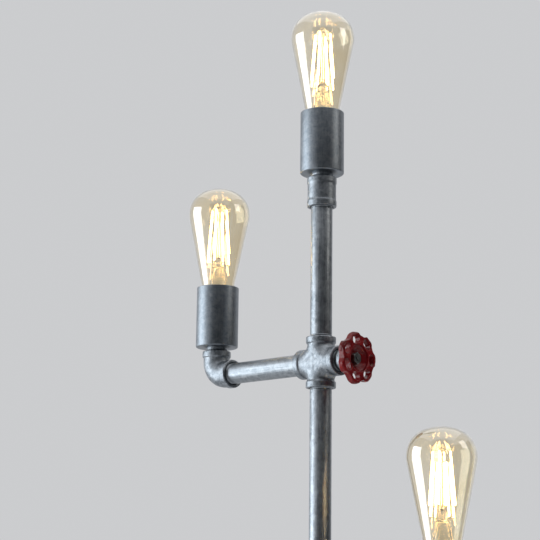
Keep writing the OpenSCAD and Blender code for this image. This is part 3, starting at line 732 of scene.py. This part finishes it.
def stemOutline(look):
    foot, top, rise, wall = look["foot"], look["rodTo"], look["buttonRise"], look["wall"]
    flare, tube, press, rod, button = (look[k] for k in ("flare", "tube", "press", "rod", "button"))
    outer = (
        (flare, foot), (flare, foot + look["lip"]), (tube + look["swell"], foot + look["swellTo"]),
        (tube, look["tubeFrom"]), (tube, look["tubeTo"]), (press, look["pressFrom"]),
        (press, look["pressTo"]), (rod, look["rodFrom"]), (rod, top),
        (button, top + rise), (button, top + 2 * rise), (rod, top + 3 * rise), (0, top + 3 * rise),
    )
    hollow = (
        (0, look["pressFrom"] + look["crownUp"]), (press - wall, look["pressFrom"] - look["shoulderDown"]),
        (tube - wall, look["tubeTo"] - look["tubeDown"]), (tube - look["lipWall"], foot + look["lipUp"]),
        (flare - wall, foot),
    )
    made = []
    for places, rounds in ((outer, look["rounds"]), (hollow, look["hollowRounds"])):
        made += softened([(*place, radius) for place, radius in zip(places, rounds)], look["steps"])
    return made


cageLook = {
    "strips": 8, "length": 48, "step": 10, "top": 147, "topRadius": 8, "footRadius": 12, "width": 1.8,
    # places along a strip and its width there, as shares of length and width
    "sides": 12, "tip": ((0, 0.55), (0.01, 0.85), (0.03, 1), (0.25, 1)),
    "wire": 0.35, "rod": 1.5, "press": 5.5, "bury": 0.01, "sink": 0.2, "rise": (0.5, 0.9, 1.0, 0.6),
    "headRun": (0.8, 3), "footRun": (1.2, 4),
}


def stripLine(look, i):
    a = math.tau * (i + 0.5) / look["strips"]
    out = Vector((math.cos(a), math.sin(a), 0))
    top = look["top"] - look["step"] * (i % 2)
    foot = out * look["footRadius"] + Vector((0, 0, top - look["length"]))
    head = out * look["topRadius"] + Vector((0, 0, top))
    return out, foot, head


def stripShapes(look):
    shapes = []
    sides = look["sides"]
    stations = [*look["tip"], (0.5, 1), *((1 - t, slim) for t, slim in reversed(look["tip"]))]
    for i in range(look["strips"]):
        out, foot, head = stripLine(look, i)
        ring = [foot + (head - foot) * t for t, slim in stations]
        verts, faces = wire(ring, look["width"] / 2, sides)
        for k, (t, slim) in enumerate(stations):
            for s in range(k * sides, (k + 1) * sides):
                verts[s] = ring[k] + (verts[s] - ring[k]) * slim
        shapes.append((verts, faces))
    return shapes


def bentWire(look, end, far, up, out, run, grip):
    # from inside the strip's end over its tip, then in to the stem
    first, crest, level, last = look["rise"]
    near, along = run
    stem = Vector((0, 0, end.z)) + out * (grip - look["sink"])
    path = [end + (far - end) * look["bury"], end + up * first, end + up * crest - out * near,
            end + up * level - out * along, stem + up * last]
    return wire(path, look["wire"])


def wireShapes(look):
    shapes = []
    up = Vector((0, 0, 1))
    for i in range(look["strips"]):
        out, foot, head = stripLine(look, i)
        grip = look["press"] if i % 2 else look["rod"]
        shapes.append(bentWire(look, head, foot, up, out, look["headRun"], look["rod"]))
        shapes.append(bentWire(look, foot, head, -up, out, look["footRun"], grip))
    return shapes


capLook = {
    "foot": 28.8, "top": 50, "crest": 13.2, "depth": 0.7, "pitch": 3.6, "bore": 11.9,
    "threadTop": 45.5, "footFade": 1.5, "topFade": 2, "steps": 64,
}


def capShape(look):
    foot = look["foot"]
    rise = look["top"] - foot
    levels = [foot + rise * k / look["steps"] for k in range(look["steps"] + 1)]

    def radiusAt(z, a):
        fade = max(0, min(1, (z - foot) / look["footFade"], (look["threadTop"] - z) / look["topFade"]))
        wave = 0.5 + 0.5 * math.cos(math.tau * z / look["pitch"] - a)
        return look["crest"] - look["depth"] * (1 - wave * fade)

    return threadedTube(levels, radiusAt, look["bore"])


for head in heads:
    body, at = head + "_bulb", headFoot[head]
    addPiece(head + "BulbGlass", turned(bulbOutline(bulbLook), bulbLook["count"]), amberGlass, body,
             head + "_glass", at, bulbLook["sharp"])
    addPiece(head + "StemGlass", turned(stemOutline(stemLook), stemLook["count"]), stemGlass, body,
             head + "_stem", at, stemLook["sharp"])
    addPiece(head + "Strips", gather(stripShapes(cageLook)), stripPhosphor, body,
             head + "_filaments", at)
    addPiece(head + "StripWires", gather(wireShapes(cageLook)), plain["clipWire"], body,
             head + "_support_wires", at)
    addPiece(head + "ScrewCap", capShape(capLook), plain["capMetal"], body,
             head + "_cap", at)
print("bulbs built")

# nodes whose solids are right keep them and take a finish
dress("base_plate", plain["baseSteel"])
dress("base_pad", plain["padFoam"])
dress("cord_bush", plain["bushRubber"])
dress("lock_nuts", plain["yellowZinc"])
dress("rotary_switch", plain["switchCase"])
for node in ("flange_screws", "spindle"):
    dress(node, plain["darkSteel"])
for head in heads:
    dress(head + "_holder", plain["porcelain"])
    dress(head + "_screw_shell", plain["brass"])
    dress(head + "_contact", plain["brass"])
    dress(head + "_lead", plain["leadSheath"])
    dress(head + "_cap_tip", plain["capGlass"])
print("carried nodes dressed")

# pale studio: world, floor, a softbox on each side, an overhead sheet and a dark screen round the camera
# lights are placed to the right of the camera's line, away from the camera and up, in metres
studio = {
    "pale": (0.60, 0.607, 0.62), "ambient": 0.5, "aim": 1.2,
    "floor": (0.74, 0.745, 0.75), "floorDim": 0.985, "floorCloud": 0.6,
    "floorGloss": 0.75, "floorSpecular": 0.2, "floorReach": 12, "floorSides": 64,
    "fade": (0.5, 2.0, 0.5, 1.0),  # from this distance to that, the floor's share of backdrop colour
    "key": {"place": (-2.2, 0.2, 1.15), "size": (1.7, 2.1), "power": 37, "colour": (0.865, 0.945, 1.0)},
    "fill": {"place": (1.3, -0.3, 1.88), "size": (0.55, 0.6), "power": 1.9, "colour": (1.0, 0.95, 0.88)},
    "overhead": {"place": (0.0, 0.2, 3.2), "size": (3.0, 3.0), "power": 17, "colour": (1, 1, 1)},
    "screen": {"from": -40, "to": 118, "reach": 2.3, "low": 0.02, "high": 2.6, "steps": 24,
               "tone": (0.03, 0.031, 0.033), "gloss": 0.9},
}


def seenRays(tree):
    path = put(tree, "ShaderNodeLightPath")
    kinds = ("Is Camera Ray", "Is Glossy Ray", "Is Transmission Ray")
    return spread(tree, weigh(tree, [(path.outputs[kind], 1) for kind in kinds]), 0, 1, 0, 1)


def makeWorld(look):
    world = bpy.data.worlds.new("paleRoom")
    bpy.context.scene.world = world
    world.use_nodes = True
    tree = world.node_tree
    tree.nodes.clear()
    lit = put(tree, "ShaderNodeBackground", Color=(*look["pale"], 1), Strength=look["ambient"])
    shown = put(tree, "ShaderNodeBackground", Color=(*look["pale"], 1), Strength=1)
    mix = put(tree, "ShaderNodeMixShader")
    end = put(tree, "ShaderNodeOutputWorld")
    tree.links.new(seenRays(tree), mix.inputs[0])
    tree.links.new(lit.outputs[0], mix.inputs[1])
    tree.links.new(shown.outputs[0], mix.inputs[2])
    tree.links.new(mix.outputs[0], end.inputs["Surface"])


def floorFinish(look):
    finish, tree, shader = newFinish("paleFloor")
    point = surfacePoint(tree)
    cloud = blotch(tree, point, look["floorCloud"], detail=4, rough=0.5)
    pale = look["floor"]
    dim = tuple(c * look["floorDim"] for c in pale)
    tree.links.new(shades(tree, cloud, ((0.3, dim), (0.7, pale))), shader.inputs["Base Color"])
    shader.inputs["Roughness"].default_value = look["floorGloss"]
    shader.inputs["Specular IOR Level"].default_value = look["floorSpecular"]
    # seen by the camera, in metal or through glass, the floor runs out into the backdrop's colour
    away = put(tree, "ShaderNodeVectorMath", operation="LENGTH")
    tree.links.new(point, away.inputs[0])
    fade = put(tree, "ShaderNodeMath", operation="MULTIPLY")
    tree.links.new(spread(tree, away.outputs["Value"], *look["fade"]), fade.inputs[0])
    tree.links.new(seenRays(tree), fade.inputs[1])
    shown = put(tree, "ShaderNodeEmission", Color=(*look["pale"], 1), Strength=1)
    mix = put(tree, "ShaderNodeMixShader")
    tree.links.new(fade.outputs[0], mix.inputs[0])
    tree.links.new(shader.outputs[0], mix.inputs[1])
    tree.links.new(shown.outputs[0], mix.inputs[2])
    tree.links.new(mix.outputs[0], tree.nodes["Material Output"].inputs["Surface"])
    return finish


def addStage(name, verts, faces, finish):
    mesh = bpy.data.meshes.new(name)
    mesh.from_pydata(verts, [], faces)
    mesh.materials.append(finish)
    made = bpy.data.objects.new(name, mesh)
    bpy.context.scene.collection.objects.link(made)
    return made


def makeFloor(look):
    count, reach = look["floorSides"], look["floorReach"]
    angles = [math.tau * i / count for i in range(count)]
    ring = [(reach * math.cos(a), reach * math.sin(a), 0) for a in angles]
    addStage("studioFloor", ring, [tuple(range(count))], floorFinish(look))


def makeLight(name, look, aim):
    lamp = bpy.data.lights.new(name, "AREA")
    lamp.shape = "RECTANGLE"
    lamp.size, lamp.size_y = look["size"]
    lamp.energy = look["power"]
    lamp.color = look["colour"]
    light = bpy.data.objects.new(name, lamp)
    across, deep, high = look["place"]
    light.location = sideways * across + inwards * deep + Vector((0, 0, high))
    towards = Vector((0, 0, aim)) - light.location
    light.rotation_euler = towards.to_track_quat("-Z", "Y").to_euler()
    bpy.context.scene.collection.objects.link(light)
    light.visible_camera = False
    light.visible_transmission = False  # glass doesn't show the lamp behind it
    return light


def makeGlint(light, look):
    # a card in the lamp's place, for the bulbs' inner walls to mirror
    # a look straight through the glass passes it
    finish, tree, shader = newFinish(light.name + "Glint")
    tree.nodes.remove(shader)
    wide, high = look["size"]
    strength = look["power"] / (math.pi * wide * high)
    glow = put(tree, "ShaderNodeEmission", Color=(*look["colour"], 1), Strength=strength)
    clear = put(tree, "ShaderNodeBsdfTransparent")
    path = put(tree, "ShaderNodeLightPath")
    mix = put(tree, "ShaderNodeMixShader")
    tree.links.new(spread(tree, path.outputs["Glossy Depth"], 0, 1, 0, 1), mix.inputs[0])
    tree.links.new(clear.outputs[0], mix.inputs[1])
    tree.links.new(glow.outputs[0], mix.inputs[2])
    tree.links.new(mix.outputs[0], tree.nodes["Material Output"].inputs["Surface"])
    finish.cycles.emission_sampling = "NONE"
    x, y = wide / 2, high / 2
    sheet = [light.matrix_basis @ Vector(c) for c in ((-x, -y, 0), (x, -y, 0), (x, y, 0), (-x, y, 0))]
    card = addStage(light.name + "Glint", sheet, [(0, 1, 2, 3)], finish)
    for way in ("visible_camera", "visible_diffuse", "visible_glossy", "visible_shadow"):
        setattr(card, way, False)


def makeScreen(look):
    finish, tree, shader = newFinish("darkScreen")
    shader.inputs["Base Color"].default_value = (*look["tone"], 1)
    shader.inputs["Roughness"].default_value = look["gloss"]
    rim = []
    for k in range(look["steps"] + 1):
        a = math.radians(look["from"] + (look["to"] - look["from"]) * k / look["steps"])
        foot = (sideways * math.sin(a) - inwards * math.cos(a)) * look["reach"]
        rim += [foot + Vector((0, 0, look["low"])), foot + Vector((0, 0, look["high"]))]
    faces = [(2 * k, 2 * k + 2, 2 * k + 3, 2 * k + 1) for k in range(look["steps"])]
    screen = addStage("darkScreen", rim, faces, finish)
    for way in ("visible_camera", "visible_diffuse", "visible_transmission", "visible_shadow"):
        setattr(screen, way, False)


makeWorld(studio)
makeFloor(studio)
for name in ("key", "fill", "overhead"):
    makeGlint(makeLight(name, studio[name], studio["aim"]), studio[name])
makeScreen(studio["screen"])
print("studio lit")
